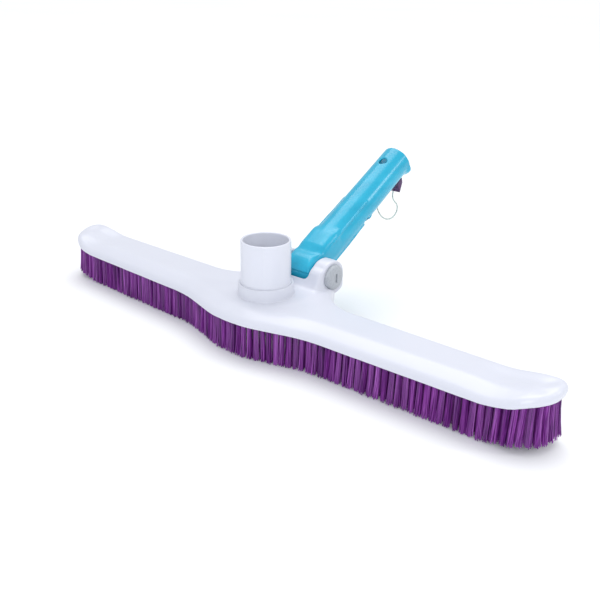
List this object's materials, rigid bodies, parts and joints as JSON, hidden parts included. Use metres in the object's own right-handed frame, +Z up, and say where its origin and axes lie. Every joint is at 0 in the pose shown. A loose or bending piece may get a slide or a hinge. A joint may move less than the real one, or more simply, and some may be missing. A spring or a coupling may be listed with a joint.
{
  "type": "pool wall brush",
  "caption": "Wide curved pool wall brush with a suction hose cuff in its middle and a tilting socket handle, locked to a pole by a tethered peg.",
  "frame": {"origin": "on the hose cuff's axis, level with the tips of the bristles", "axes": "+X along the head, +Y to the rear where the handle points, +Z up along the hose cuff"},
  "size_m": [0.47, 0.2157, 0.1238],
  "materials": {
    "white_abs": "glossy moulded",
    "white_plate": "satin moulded",
    "blue_abs": "glossy moulded",
    "grey_nylon": "satin moulded",
    "steel": "zinc plated",
    "purple_bristle": "nylon filament",
    "purple_peg": "satin moulded",
    "seal_rubber": "matt",
    "tether_nylon": "translucent nylon"
  },
  "bodies": {
    "head": {"head_shell": "white_abs", "bristle_plate": "white_plate", "plate_screws": "steel", "bristles_front": "purple_bristle", "bristles_rear": "purple_bristle", "bristles_right_end": "purple_bristle", "bristles_left_end": "purple_bristle", "cuff_seal": "seal_rubber", "cuff_retaining_ring": "white_plate", "pivot_bolt": "steel", "pivot_nut": "steel", "pivot_knob": "grey_nylon", "pivot_cap": "grey_nylon", "pivot_washer_right": "grey_nylon", "pivot_washer_left": "grey_nylon"},
    "cuff": {"hose_cuff": "white_abs"},
    "handle": {"handle": "blue_abs", "tether_anchor": "blue_abs", "peg_tether": "tether_nylon"},
    "peg": {"lock_peg": "purple_peg"}
  },
  "joints": [
    {"name": "handle_tilt", "type": "hinge", "parent": "head", "child": "handle", "pos_m": [0, 0.048, 0.0435], "axis": [1, 0, 0], "range_deg": [-25, 65]},
    {"name": "cuff_swivel", "type": "hinge", "parent": "head", "child": "cuff", "pos_m": [0, 0, 0.055], "axis": [0, 0, 1], "continuous": true},
    {"name": "peg_slide", "type": "slide", "parent": "handle", "child": "peg", "axis": [0, 0.497, -0.8678], "range_m": [0, 0.012]}
  ]
}
